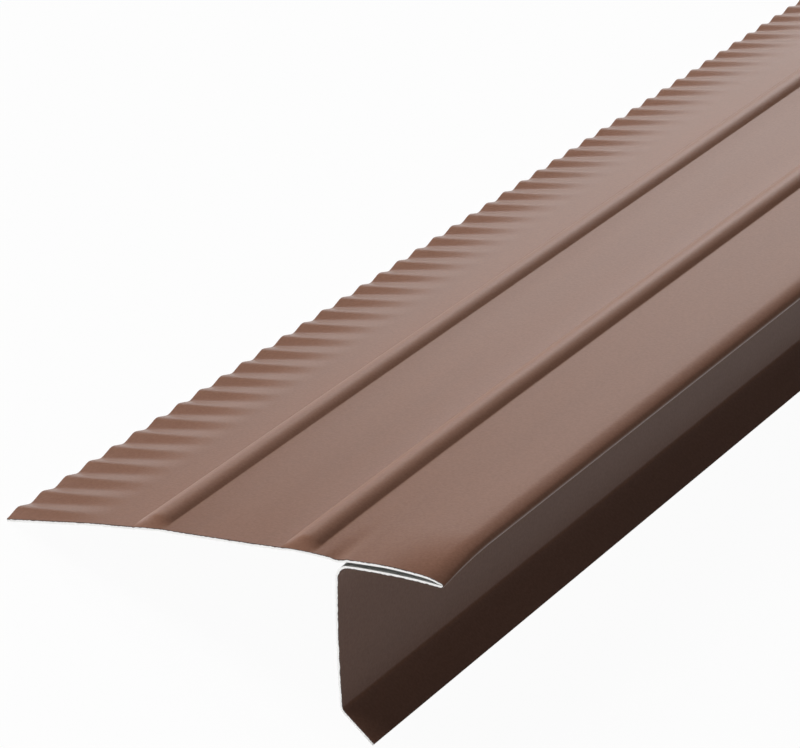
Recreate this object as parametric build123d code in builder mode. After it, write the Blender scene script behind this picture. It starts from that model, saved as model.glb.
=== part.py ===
from build123d import *
from math import cos, radians, sin, tan
import os

# Metal and stock length, in millimetres
metal = 0.48
stock_length = 3048.0

# Leg and kick, measured on the painted face, with the kick's angle from the leg
leg_drop = 24.0
kick_length = 6.95
kick_angle = 48.5
corner_radius = 1.3
kick_radius = 1.2

# Open hem that carries the nose
overhang = 17.55
hem_height = 1.8
nose_roll_radius = 5.0
nose_roll_angle = 20.0

# Deck flange: how far it runs back from the leg, and how each panel falls, in degrees
rear_reach = 58.6
front_fall = 1.4
middle_fall = 3.4
rear_fall = 7.3

# Two round stiffening ribs, placed by their crests behind the leg
rib_width = 5.6
rib_height = 0.85
front_rib_back = 7.3
rear_rib_back = 33.2
rib_foot_radius = 0.8

# Crimped rear edge: waves that are deepest at the edge and die out over the reach
strokes = 8
crimps_per_stroke = 56
crimp_depth = 0.7
crimp_reach = 15.5

stroke_length = stock_length / strokes
crimp_pitch = stroke_length / crimps_per_stroke


def panel_point(start, across, fall):
    """Point at a place across the section, on a panel that falls towards the rear."""
    run = start.X - across
    return Vector(across, start.Y - run * tan(radians(fall)))


# Points of the painted face, from the kick's edge up the leg, round the nose and back
corner = Vector(0, 0)
bend = Vector(0, -leg_drop)
kick_edge = bend + Vector(0, -kick_length).rotate(Axis.Z, kick_angle)

roll_drop = nose_roll_radius * (cos(radians(front_fall)) - cos(radians(nose_roll_angle)))
roll_run = nose_roll_radius * (sin(radians(front_fall)) + sin(radians(nose_roll_angle)))
fold_radius = (hem_height - roll_drop) / (1 + cos(radians(nose_roll_angle)))
fold_start = Vector(overhang - fold_radius, 0)
fold_centre = Vector(overhang - fold_radius, fold_radius)
roll_end = Vector(
    fold_centre.X + fold_radius * sin(radians(nose_roll_angle)) - roll_run, hem_height
)

front_foot_1 = panel_point(roll_end, rib_width / 2 - front_rib_back, front_fall)
front_foot_2 = panel_point(front_foot_1, -rib_width / 2 - front_rib_back, middle_fall)
rear_foot_1 = panel_point(front_foot_2, rib_width / 2 - rear_rib_back, middle_fall)
rear_foot_2 = panel_point(rear_foot_1, -rib_width / 2 - rear_rib_back, rear_fall)
rear_edge = panel_point(rear_foot_2, -rear_reach, rear_fall)
rearwards = (rear_edge - rear_foot_2).normalized()
crimp_root = rear_edge - rearwards * crimp_reach

# Unheld, the flashing lies on the undersides of its crimped edge and its kick's edge
panel_up = rearwards.rotate(Axis.Z, -90)
crimp_top = rear_edge + panel_up * crimp_depth / 2
crimp_low = rear_edge - panel_up * (crimp_depth / 2 + metal)
kick_low = kick_edge + (bend - kick_edge).normalized().rotate(Axis.Z, 90) * metal
rest_tilt = -(kick_low - crimp_low).get_signed_angle(Vector(1, 0))

left_side = crimp_top.rotate(Axis.Z, rest_tilt).X
right_side = fold_centre.rotate(Axis.Z, rest_tilt).X + fold_radius
floor_level = kick_low.rotate(Axis.Z, rest_tilt).Y

far_end = Plane(
    origin=(-(left_side + right_side) / 2, stock_length / 2, -floor_level),
    x_dir=Vector(1, 0, 0).rotate(Axis.Y, -rest_tilt),
    z_dir=(0, -1, 0),
)

# Planes across the rear panel: where the crimps die out, and at the crimped edge
crimp_root_plane = Plane(
    origin=far_end.from_local_coords(crimp_root),
    x_dir=(0, -1, 0),
    z_dir=far_end.from_local_coords(rear_edge) - far_end.from_local_coords(crimp_root),
)
crimp_edge_plane = crimp_root_plane.offset(crimp_reach)


def crimp_outline(depth):
    """Closed outline of one stroke's crimps, trough to trough, waved by the given depth."""
    top = [(0, -depth / 2)]
    for number in range(crimps_per_stroke):
        for sixteenths, side in ((1, -1), (7, 1), (9, 1), (15, -1)):
            top.append(((number + sixteenths / 16) * crimp_pitch, side * depth / 2))
    top.append((stroke_length, -depth / 2))
    underside = [(place, height - metal) for place, height in reversed(top)]
    return Polyline(*top, *underside, close=True).wire()


crimped_strip = Solid.make_loft(
    [
        crimp_root_plane.from_local_coords(crimp_outline(0)),
        crimp_edge_plane.from_local_coords(crimp_outline(crimp_depth)),
    ],
    ruled=True,
)

with BuildPart() as drip_edge:
    with BuildSketch(far_end):
        with BuildLine() as painted_face:
            leg = FilletPolyline(
                kick_edge, bend, corner, fold_start, radius=[kick_radius, corner_radius]
            )
            fold = JernArc(leg @ 1, leg % 1, fold_radius, 180 - nose_roll_angle)
            roll = JernArc(fold @ 1, fold % 1, nose_roll_radius, nose_roll_angle + front_fall)
            Line(roll @ 1, front_foot_1)
            SagittaArc(front_foot_1, front_foot_2, -rib_height)
            Line(front_foot_2, rear_foot_1)
            SagittaArc(rear_foot_1, rear_foot_2, -rib_height)
            Line(rear_foot_2, crimp_root)
            feet = [front_foot_1, front_foot_2, rear_foot_1, rear_foot_2]
            fillet([painted_face.vertices().sort_by_distance(foot)[0] for foot in feet], rib_foot_radius)
            offset(amount=metal, side=Side.LEFT)
        make_face()
    extrude(amount=stock_length)
    with Locations(*[(0, -number * stroke_length, 0) for number in range(strokes)]):
        add(crimped_strip)

drip_edge.part.label = "drip_edge"
os.makedirs("parts", exist_ok=True)
export_step(drip_edge.part, "parts/drip_edge.step")
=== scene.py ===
from math import asin, atan2, cos, pi, radians, sin, sqrt, tan

import bmesh
import bpy
from mathutils import Matrix, Vector


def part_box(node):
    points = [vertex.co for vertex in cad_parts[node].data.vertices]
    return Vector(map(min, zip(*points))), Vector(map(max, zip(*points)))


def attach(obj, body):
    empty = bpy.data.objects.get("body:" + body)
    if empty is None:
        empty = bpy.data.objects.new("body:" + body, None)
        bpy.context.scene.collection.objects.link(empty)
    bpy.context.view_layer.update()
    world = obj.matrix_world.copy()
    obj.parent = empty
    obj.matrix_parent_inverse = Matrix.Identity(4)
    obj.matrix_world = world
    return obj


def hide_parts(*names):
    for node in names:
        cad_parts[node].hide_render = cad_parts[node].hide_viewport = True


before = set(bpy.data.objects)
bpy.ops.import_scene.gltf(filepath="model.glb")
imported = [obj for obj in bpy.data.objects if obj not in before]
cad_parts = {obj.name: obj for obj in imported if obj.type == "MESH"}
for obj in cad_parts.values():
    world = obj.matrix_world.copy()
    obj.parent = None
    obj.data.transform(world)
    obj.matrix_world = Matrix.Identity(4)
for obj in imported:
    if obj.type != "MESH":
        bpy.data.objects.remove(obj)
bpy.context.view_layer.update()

# The flashing is one strip of aluminium coil, painted dark brown on its face and pale grey on
# its back. It is roll-formed to a deck flange with two ribs, an open hem that carries the nose,
# a leg and a kick, crimped along its rear edge, and then sheared to length.
mm = 0.001
metal = 0.48 * mm
leg_drop = 24.0 * mm
kick_length = 6.95 * mm
kick_angle = radians(48.5)
kick_radius = 1.2 * mm
corner_radius = 1.3 * mm

overhang = 17.55 * mm
hem_height = 1.8 * mm
nose_roll_radius = 7.5 * mm
nose_roll_angle = radians(20.0)

rear_reach = 58.6 * mm
front_fall = radians(1.4)
middle_fall = radians(3.4)
rear_fall = radians(7.3)

rib_width = 5.6 * mm
rib_height = 0.85 * mm
rib_foot_radius = 0.8 * mm
front_rib_back = 7.3 * mm
rear_rib_back = 33.2 * mm

crimp_reach = 15.5 * mm

# Rows set apart in the flange: a narrow flat one before the crimps, and fine ones over the leg
crimp_guard = 1.5 * mm
corner_zone = 3.2 * mm


class Strip:
    """The edge of the coil as it is folded: its newest vertex, and which way it heads."""

    def __init__(self, start, heading):
        self.mesh = bmesh.new()
        self.tip = bmesh.ops.create_vert(self.mesh, co=start)["vert"][0]
        self.heading = heading

    def ahead(self):
        """The direction in which the strip heads."""
        return Vector((cos(self.heading), 0, sin(self.heading)))

    def flat(self, length, rows):
        """Run the strip straight on by a length, in equal rows."""
        for row in range(rows):
            grown = bmesh.ops.extrude_vert_indiv(self.mesh, verts=[self.tip])
            self.tip = grown["verts"][0]
            bmesh.ops.translate(self.mesh, verts=[self.tip], vec=self.ahead() * length / rows)

    def flat_to(self, across, rows):
        """Run the strip straight on to a place across the section."""
        self.flat((across - self.tip.co.x) / cos(self.heading), rows)

    def bend(self, radius, turn, rows):
        """Bend the strip by an angle, which is positive to the left of its heading."""
        side = radius if turn > 0 else -radius
        centre = self.tip.co + Vector((-sin(self.heading), 0, cos(self.heading))) * side
        spun = bmesh.ops.spin(
            self.mesh, geom=[self.tip], cent=centre, axis=(0, -1, 0), angle=turn, steps=rows
        )
        self.tip = [part for part in spun["geom_last"] if isinstance(part, bmesh.types.BMVert)][0]
        self.heading += turn

    def rib(self, crest_back, fall_change):
        """Raise a round rib whose crest is a distance behind the leg."""
        crest_radius = ((rib_width / 2) ** 2 + rib_height ** 2) / (2 * rib_height)
        centre_reach = crest_radius + rib_foot_radius
        centre_drop = crest_radius - rib_height + rib_foot_radius
        foot_reach = sqrt(centre_reach ** 2 - centre_drop ** 2)
        rise_angle = asin(foot_reach / centre_reach)
        self.flat_to(foot_reach - crest_back, rows=4)
        self.bend(rib_foot_radius, fall_change - rise_angle, rows=3)
        self.bend(crest_radius, 2 * rise_angle, rows=10)
        self.bend(rib_foot_radius, -rise_angle, rows=3)


# Fold the section from the kick's edge up the leg, round the hem and nose, and back
kick_tangent = kick_radius * tan(kick_angle / 2)
kick_edge = Vector((sin(kick_angle), 0, -cos(kick_angle))) * kick_length - Vector((0, 0, leg_drop))
roll_drop = nose_roll_radius * (cos(front_fall) - cos(nose_roll_angle))
fold_radius = (hem_height - roll_drop) / (1 + cos(nose_roll_angle))

strip = Strip(kick_edge, heading=pi / 2 + kick_angle)
strip.flat(kick_length - kick_tangent, rows=3)
strip.bend(kick_radius, -kick_angle, rows=5)
strip.flat(leg_drop - kick_tangent - corner_radius, rows=6)
strip.bend(corner_radius, -pi / 2, rows=6)
strip.flat_to(overhang - fold_radius, rows=8)
fold_centre = strip.tip.co + Vector((0, 0, fold_radius))
strip.bend(fold_radius, pi - nose_roll_angle, rows=10)
strip.bend(nose_roll_radius, nose_roll_angle + front_fall, rows=5)
strip.flat_to(corner_zone, rows=5)
strip.flat_to(-corner_zone, rows=8)
strip.rib(front_rib_back, middle_fall - front_fall)
strip.rib(rear_rib_back, rear_fall - middle_fall)

# The last panel ends in the rows that are crimped, with one narrow flat row before them
crimp_root_across = crimp_reach * cos(rear_fall) - rear_reach
strip.flat_to(crimp_root_across + crimp_guard, rows=1)
strip.flat_to(crimp_root_across, rows=1)
crimp_root = strip.tip.co.copy()
strip.flat(crimp_reach, rows=5)
rear_edge = strip.tip.co.copy()
rearwards = strip.ahead()
panel_up = Vector((sin(strip.heading), 0, -cos(strip.heading)))


def draw_out(mesh, edges, length, columns):
    """Draw the section out lengthwise in equal columns, and return its new end."""
    for column in range(columns):
        grown = bmesh.ops.extrude_edge_only(mesh, edges=edges)["geom"]
        fresh = [part for part in grown if isinstance(part, bmesh.types.BMVert)]
        bmesh.ops.translate(mesh, verts=fresh, vec=(0, length / columns, 0))
        edges = [part for part in grown if isinstance(part, bmesh.types.BMEdge)]
    return edges


# Draw the section out along the stock, with close columns at the sheared ends
flashing_low, flashing_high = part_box("drip_edge")
stock_length = flashing_high.y - flashing_low.y
crimps = 448
crimp_pitch = stock_length / crimps
steps_per_crimp = 10
crimps_per_station = 4
end_crimps = 2

flashing_mesh = strip.mesh
end_length = end_crimps * crimp_pitch
end_columns = end_crimps * steps_per_crimp
stations = (crimps - 2 * end_crimps) // crimps_per_station
end_edges = list(flashing_mesh.edges)
end_edges = draw_out(flashing_mesh, end_edges, end_length, end_columns)
end_edges = draw_out(flashing_mesh, end_edges, stock_length - 2 * end_length, stations)
draw_out(flashing_mesh, end_edges, end_length, end_columns)

# Between the stations only the crimped rows need finer columns, up to the narrow flat row
rounding = 0.01 * mm
crimp_zone = crimp_root_across + crimp_guard + rounding
station_edges = [
    edge
    for edge in flashing_mesh.edges
    if edge.calc_length() > crimp_pitch and max(vert.co.x for vert in edge.verts) < crimp_zone
]
station_cuts = crimps_per_station * steps_per_crimp - 1
bmesh.ops.subdivide_edges(
    flashing_mesh, edges=station_edges, cuts=station_cuts, use_grid_fill=True
)

# Crimp the rear edge with waves that are deepest at the edge and die out over the reach
crimp_depth = 0.7 * mm
crimp_sharpness = 0.06

for vert in flashing_mesh.verts:
    into = (vert.co - crimp_root).dot(rearwards) / crimp_reach
    if into > 0 and vert.co.x < crimp_root_across:
        turn = 2 * pi * vert.co.y / crimp_pitch
        wave = -(cos(turn) + cos(3 * turn) * crimp_sharpness) / (1 + crimp_sharpness)
        vert.co += panel_up * wave * into * crimp_depth / 2


def in_deck(place):
    """Whether a place of the section is in the deck flange, and not in the hem or leg."""
    return place.x < -metal or place.z > hem_height / 2


def clamped(share):
    """A share, held between 0 and 1."""
    return min(1, max(0, share))


# Near a cut end nothing holds the shape: the deck sags, its rear edge lifts and the leg bows
end_reach = 80.0 * mm
deck_sag = 0.75 * mm
sag_peak = -4.0 * mm
sag_rear = -42.0 * mm
rear_lift = 0.24 * mm
leg_bow = 0.25 * mm


def end_spring(place, away):
    """How far a place of the section springs, at a distance from the cut."""
    fade = max(0, 1 - away / end_reach) ** 2
    if place.x < sag_rear:
        return Vector((0, 0, rear_lift * fade * (sag_rear - place.x) / (sag_rear + rear_reach)))
    if place.x < sag_peak:
        share = (place.x - sag_rear) / (sag_peak - sag_rear)
    else:
        share = (overhang - place.x) / (overhang - sag_peak)
    drop = deck_sag * fade * sin(pi / 2 * share)
    bow = 0
    if not in_deck(place):
        held = clamped(1 + place.z / leg_drop)
        drop *= held
        bow = leg_bow * fade * sin(pi * held)
    return Vector((-bow, 0, -drop))


# The shear drags the deck's front and the hem down beside the cut and a little out past it,
# squashes the nose, dents the deck over the leg and presses the ribs nearly flat
shear_reach = 16.0 * mm
shear_proud = 0.5 * mm
shear_rear = -8.0 * mm
shear_drop_at_leg = 0.15 * mm
shear_drop_at_nose = 1.15 * mm
squash_start = 8.0 * mm
nose_squash = 0.34
dent_depth = 0.25 * mm
dent_place = -0.3 * mm
dent_width = 1.6 * mm
corner_slump = 0.5 * mm
corner_slump_width = 2.4 * mm
rib_press_reach = 3.0 * mm
rib_press = 0.95


def shear_drop(place):
    """How far the shear drags a place of the section down, at the cut itself."""
    drop = shear_drop_at_leg * clamped(1 - place.x / shear_rear)
    if place.x > 0:
        drop += (shear_drop_at_nose - shear_drop_at_leg) * (place.x / overhang) ** 3
    if in_deck(place):
        dent = (place.x - dent_place) / dent_width
        drop += dent_depth * max(0, 1 - dent ** 2)
    else:
        drop *= clamped(1 + place.z / leg_drop)
        if place.z > -corner_slump_width:
            drop += corner_slump * max(0, 1 - place.x / corner_slump_width) ** 2
    if place.z > 0:
        drop += nose_squash * place.z * clamped((place.x - squash_start) / (overhang - squash_start))
    return drop


def rib_pressing(place, away):
    """How far the shear's blade presses the ribs down, just at the cut."""
    fade = max(0, 1 - away / rib_press_reach)
    pressing = 0
    for crest_back in (front_rib_back, rear_rib_back):
        offset = (place.x + crest_back) / (rib_width / 2)
        pressing += max(0, 1 - offset ** 2)
    return Vector((0, 0, -rib_press * rib_height * fade * pressing))


def shear_mark(place, away):
    """How far the shear pushes a place of the section, at a distance from the cut."""
    fade = max(0, 1 - away / shear_reach) ** 2
    proud = shear_proud * clamped(1 - place.x / shear_rear)
    edge_mark = Vector((0, -proud * fade, -shear_drop(place) * fade))
    return edge_mark + rib_pressing(place, away)


for vert in flashing_mesh.verts:
    at_near_end = vert.co.y < stock_length / 2
    away = vert.co.y if at_near_end else stock_length - vert.co.y
    if away < end_reach:
        moved = end_spring(vert.co, away) + shear_mark(vert.co, away)
        if not at_near_end:
            moved.y = -moved.y
        vert.co += moved

# Lay it as it rests unheld, on the undersides of its crimped edge and its kick's edge
kick_outward = Vector((cos(kick_angle), 0, sin(kick_angle)))
kick_low = kick_edge - kick_outward * metal
crimp_low = rear_edge - panel_up * (crimp_depth / 2 + metal)
rest_tilt = atan2(kick_low.z - crimp_low.z, kick_low.x - crimp_low.x)
lay_down = Matrix.Rotation(rest_tilt, 3, "Y")
across = flashing_high.x - fold_radius - (lay_down @ fold_centre).x
up = flashing_low.z - (lay_down @ kick_low).z
bmesh.ops.rotate(flashing_mesh, verts=flashing_mesh.verts, cent=(0, 0, 0), matrix=lay_down)
bmesh.ops.translate(flashing_mesh, verts=flashing_mesh.verts, vec=(across, flashing_low.y, up))


def new_material(name):
    """A new material, with its node tree and its shader."""
    material = bpy.data.materials.new(name)
    material.use_nodes = True
    return material, material.node_tree, material.node_tree.nodes["Principled BSDF"]


def drawn_out(tree, coordinates, share):
    """Coordinates in which a pattern is drawn out lengthwise, as the rolls draw it."""
    drawn = tree.nodes.new("ShaderNodeMapping")
    drawn.inputs["Scale"].default_value = (1.0, share, 1.0)
    tree.links.new(coordinates, drawn.inputs["Vector"])
    return drawn.outputs["Vector"]


def noise(tree, coordinates, scale, detail):
    """A cloudy pattern of values about one half."""
    cloud = tree.nodes.new("ShaderNodeTexNoise")
    cloud.inputs["Scale"].default_value = scale
    cloud.inputs["Detail"].default_value = detail
    tree.links.new(coordinates, cloud.inputs["Vector"])
    return cloud.outputs["Fac"]


def calculate(tree, operation, *values):
    """The result of an operation on values that are sockets or plain numbers."""
    node = tree.nodes.new("ShaderNodeMath")
    node.operation = operation
    for value, socket in zip(values, node.inputs):
        if isinstance(value, float):
            socket.default_value = value
        else:
            tree.links.new(value, socket)
    return node.outputs["Value"]


def gloss_between(tree, shader, pattern, low, high):
    """Let the shader's roughness follow a pattern between two values."""
    spread = tree.nodes.new("ShaderNodeMapRange")
    spread.inputs["To Min"].default_value = low
    spread.inputs["To Max"].default_value = high
    tree.links.new(pattern, spread.inputs["Value"])
    tree.links.new(spread.outputs["Result"], shader.inputs["Roughness"])


def colour_between(tree, shader, pattern, first, second):
    """Let the shader's colour follow a pattern between two colours."""
    shade = tree.nodes.new("ShaderNodeMix")
    shade.data_type = "RGBA"
    shade.inputs["A"].default_value = first
    shade.inputs["B"].default_value = second
    tree.links.new(pattern, shade.inputs["Factor"])
    tree.links.new(shade.outputs["Result"], shader.inputs["Base Color"])


def fine_relief(tree, shader, pattern, strength):
    """Raise a pattern on the surface, a fiftieth of a millimetre high at full strength."""
    bump = tree.nodes.new("ShaderNodeBump")
    bump.inputs["Strength"].default_value = strength
    bump.inputs["Distance"].default_value = 0.02 * mm
    tree.links.new(pattern, bump.inputs["Height"])
    tree.links.new(bump.outputs["Normal"], shader.inputs["Normal"])


def paint_material():
    """Dark brown coil coating, semi-gloss, with the faint texture of roll-coated paint."""
    material, tree, shader = new_material("brown_coil_paint")
    shader.inputs["Metallic"].default_value = 0.0
    shader.inputs["IOR"].default_value = 1.15
    coords = tree.nodes.new("ShaderNodeTexCoord").outputs["Object"]

    streaks = noise(tree, drawn_out(tree, coords, 0.12), scale=160.0, detail=3.0)
    gloss_between(tree, shader, streaks, 0.276, 0.31)
    peel = noise(tree, coords, scale=2200.0, detail=2.0)
    fine_relief(tree, shader, peel, strength=0.7)

    grain = calculate(tree, "MULTIPLY_ADD", peel, 2.6, -1.3)
    grained = calculate(tree, "ADD", streaks, grain)
    colour_between(tree, shader, grained, (0.143, 0.071, 0.047, 1), (0.169, 0.086, 0.058, 1))
    return material


def back_coat_material():
    """Thin pale grey wash coat on the strip's back, through which the rolling shows."""
    material, tree, shader = new_material("grey_back_coat")
    shader.inputs["Metallic"].default_value = 0.0
    coords = tree.nodes.new("ShaderNodeTexCoord").outputs["Object"]

    rolling = noise(tree, drawn_out(tree, coords, 0.04), scale=900.0, detail=4.0)
    gloss_between(tree, shader, rolling, 0.45, 0.65)
    colour_between(tree, shader, rolling, (0.36, 0.36, 0.34, 1), (0.46, 0.46, 0.44, 1))
    return material


def bare_edge_material():
    """Bright aluminium where the strip was sheared, with a ragged dark brown line along its painted
    side.
    """
    material, tree, shader = new_material("sheared_aluminium")
    shader.inputs["Metallic"].default_value = 0.4
    shader.inputs["Roughness"].default_value = 0.45
    coords = tree.nodes.new("ShaderNodeTexCoord").outputs["Object"]

    fracture = noise(tree, coords, scale=4000.0, detail=2.0)
    fine_relief(tree, shader, fracture, strength=0.3)

    # Colour the painted side of each bare edge in a ragged dark brown line
    painted_side = tree.nodes.new("ShaderNodeAttribute")
    painted_side.attribute_name = "painted_side"
    ragged = noise(tree, coords, scale=1500.0, detail=3.0)
    painted = calculate(tree, "MULTIPLY_ADD", ragged, 0.6, painted_side.outputs["Fac"])
    dark_line_range = tree.nodes.new("ShaderNodeMapRange")
    dark_line_range.inputs["From Min"].default_value = 0.95
    dark_line_range.inputs["From Max"].default_value = 1.05
    tree.links.new(painted, dark_line_range.inputs["Value"])
    edge_mark = dark_line_range.outputs["Result"]
    colour_between(tree, shader, edge_mark, (0.95, 0.945, 0.93, 1), (0.07, 0.045, 0.038, 1))
    return material


# Give the strip its metal's thickness, inwards from the painted face
face_mesh = bpy.data.meshes.new("flashing_face")
flashing_mesh.to_mesh(face_mesh)
flashing_mesh.free()
for material in (paint_material(), back_coat_material(), bare_edge_material()):
    face_mesh.materials.append(material)
painted_face = bpy.data.objects.new("flashing_face", face_mesh)
bpy.context.scene.collection.objects.link(painted_face)
gauge = painted_face.modifiers.new("metal", "SOLIDIFY")
gauge.thickness = metal
gauge.offset = -1.0
gauge.use_even_offset = True
gauge.material_offset = 1
gauge.material_offset_rim = 2
thick_strip = painted_face.evaluated_get(bpy.context.evaluated_depsgraph_get())
flashing_data = bpy.data.meshes.new_from_object(thick_strip)
bpy.data.objects.remove(painted_face)

# The sheet bends smoothly, its cut and slit edges are sharp, and the paint's side of the cuts
# is marked for the ragged line
edged = bmesh.new()
edged.from_mesh(flashing_data)
painted_side = edged.verts.layers.float.new("painted_side")
for face in edged.faces:
    face.smooth = True
    if face.material_index == 0:
        for vert in face.verts:
            vert[painted_side] = 1.0
for edge in edged.edges:
    near, far = edge.link_faces
    edge.smooth = near.material_index == far.material_index
edged.to_mesh(flashing_data)
edged.free()

flashing = bpy.data.objects.new("roll_formed_flashing", flashing_data)
bpy.context.scene.collection.objects.link(flashing)
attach(flashing, "root")
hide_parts("drip_edge")


# A plain white floor, which shows white where the camera or the gloss looks at it and
# still takes a soft shadow from the flashing
def white_floor_material():
    """White that stays white to the camera and in reflections, and keeps part of a shadow."""
    material, tree, shader = new_material("white_floor")
    shader.inputs["Base Color"].default_value = (0.85, 0.85, 0.85, 1)
    shader.inputs["Roughness"].default_value = 0.9
    path = tree.nodes.new("ShaderNodeLightPath")
    in_gloss = calculate(tree, "MULTIPLY", path.outputs["Is Glossy Ray"], 0.98)
    seen = calculate(tree, "MAXIMUM", path.outputs["Is Camera Ray"], in_gloss)
    glow = tree.nodes.new("ShaderNodeEmission")
    mixed = tree.nodes.new("ShaderNodeMixShader")
    tree.links.new(calculate(tree, "MULTIPLY", seen, 0.96), mixed.inputs["Fac"])
    tree.links.new(shader.outputs["BSDF"], mixed.inputs[1])
    tree.links.new(glow.outputs["Emission"], mixed.inputs[2])
    tree.links.new(mixed.outputs["Shader"], tree.nodes["Material Output"].inputs["Surface"])
    return material


floor_size = 60.0
floor_mesh = bmesh.new()
bmesh.ops.create_grid(floor_mesh, x_segments=1, y_segments=1, size=floor_size / 2)
floor_data = bpy.data.meshes.new("floor")
floor_mesh.to_mesh(floor_data)
floor_mesh.free()
floor_data.materials.append(white_floor_material())
floor = bpy.data.objects.new("floor", floor_data)
bpy.context.scene.collection.objects.link(floor)

# The room is white to the camera, and a dim even light on everything else
world = bpy.data.worlds.new("room")
bpy.context.scene.world = world
world.use_nodes = True
world_nodes = world.node_tree.nodes
world_links = world.node_tree.links
room_light = world_nodes["Background"]
room_light.inputs["Color"].default_value = (1, 1, 1, 1)
room_light.inputs["Strength"].default_value = 0.03
white_view = world_nodes.new("ShaderNodeBackground")
white_view.inputs["Color"].default_value = (1, 1, 1, 1)
white_view.inputs["Strength"].default_value = 1.0
room_path = world_nodes.new("ShaderNodeLightPath")
room_mix = world_nodes.new("ShaderNodeMixShader")
world_links.new(room_path.outputs["Is Camera Ray"], room_mix.inputs["Fac"])
world_links.new(room_light.outputs["Background"], room_mix.inputs[1])
world_links.new(white_view.outputs["Background"], room_mix.inputs[2])
world_links.new(room_mix.outputs["Shader"], world_nodes["World Output"].inputs["Surface"])


# Broad soft boxes stand far off all round, so each is a distant light with a wide face
def soft_light(name, height, bearing, spread, strength):
    """A soft box at a height above the floor and a bearing, in degrees, as is its spread.

    Bearing 0 is along the stock past its far end, and 90 is square behind its crimped edge.
    """
    light = bpy.data.lights.new(name, "SUN")
    light.energy = strength
    light.angle = radians(spread)
    holder = bpy.data.objects.new(name, light)
    bpy.context.scene.collection.objects.link(holder)
    lifted = Vector((0, cos(radians(height)), sin(radians(height))))
    toward = Matrix.Rotation(radians(bearing), 3, "Z") @ lifted
    holder.rotation_euler = toward.to_track_quat("Z", "Y").to_euler()


soft_light("rear_soft_box", height=5, bearing=110, spread=14, strength=0.8)
soft_light("rear_far_soft_box", height=5, bearing=68, spread=14, strength=5.1)
soft_light("overhead_soft_box", height=55, bearing=90, spread=30, strength=1.4)
soft_light("far_glow", height=2, bearing=27, spread=24, strength=0.42)
soft_light("fascia_fill", height=1, bearing=-80, spread=20, strength=1.0)
soft_light("far_fill", height=30, bearing=-20, spread=20, strength=0.05)
soft_light("end_fill", height=5, bearing=180, spread=30, strength=1.8)

# The camera stands beyond the near end, as high as the photograph's, and leans with it
camera_place = Vector((203.33, -2042.48, 376.97)) * mm
camera_turn = radians(19.696)
camera_down = radians(30.053)
camera_lean = radians(19.644)
camera_data = bpy.data.cameras.new("camera")
camera_data.sensor_width = 36.0
camera_data.lens = 199.9
camera_data.clip_start = 0.05
camera_data.clip_end = 100.0
camera = bpy.data.objects.new("camera", camera_data)
bpy.context.scene.collection.objects.link(camera)
camera.matrix_world = (
    Matrix.Translation(camera_place)
    @ Matrix.Rotation(camera_turn, 4, "Z")
    @ Matrix.Rotation(pi / 2 - camera_down, 4, "X")
    @ Matrix.Rotation(camera_lean, 4, "Z")
)
bpy.context.scene.camera = camera
bpy.context.scene.view_settings.view_transform = "Standard"
